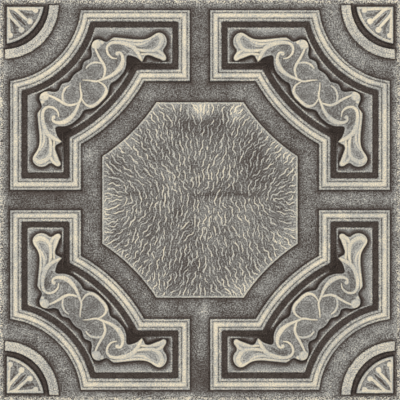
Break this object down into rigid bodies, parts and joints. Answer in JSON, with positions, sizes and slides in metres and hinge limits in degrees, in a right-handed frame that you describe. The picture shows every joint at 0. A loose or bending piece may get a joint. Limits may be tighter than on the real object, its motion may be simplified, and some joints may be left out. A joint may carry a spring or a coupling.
{
  "type": "polystyrene ceiling tile",
  "caption": "Square foam ceiling tile, pressed with an octagonal wrinkled panel, reeded frames, scroll ornament and corner fans, painted to look like aged tin.",
  "frame": {"origin": "centre of the back plane, on which the tile lies", "axes": "+Z out of the patterned front, +X and +Y along the tile's edges"},
  "size_m": [0.5, 0.5, 0.0092],
  "materials": {
    "painted_foam": "matt, grey with dark recesses and cream high points, bare white on the back"
  },
  "bodies": {
    "root": {"tile": "painted_foam"}
  },
  "joints": []
}
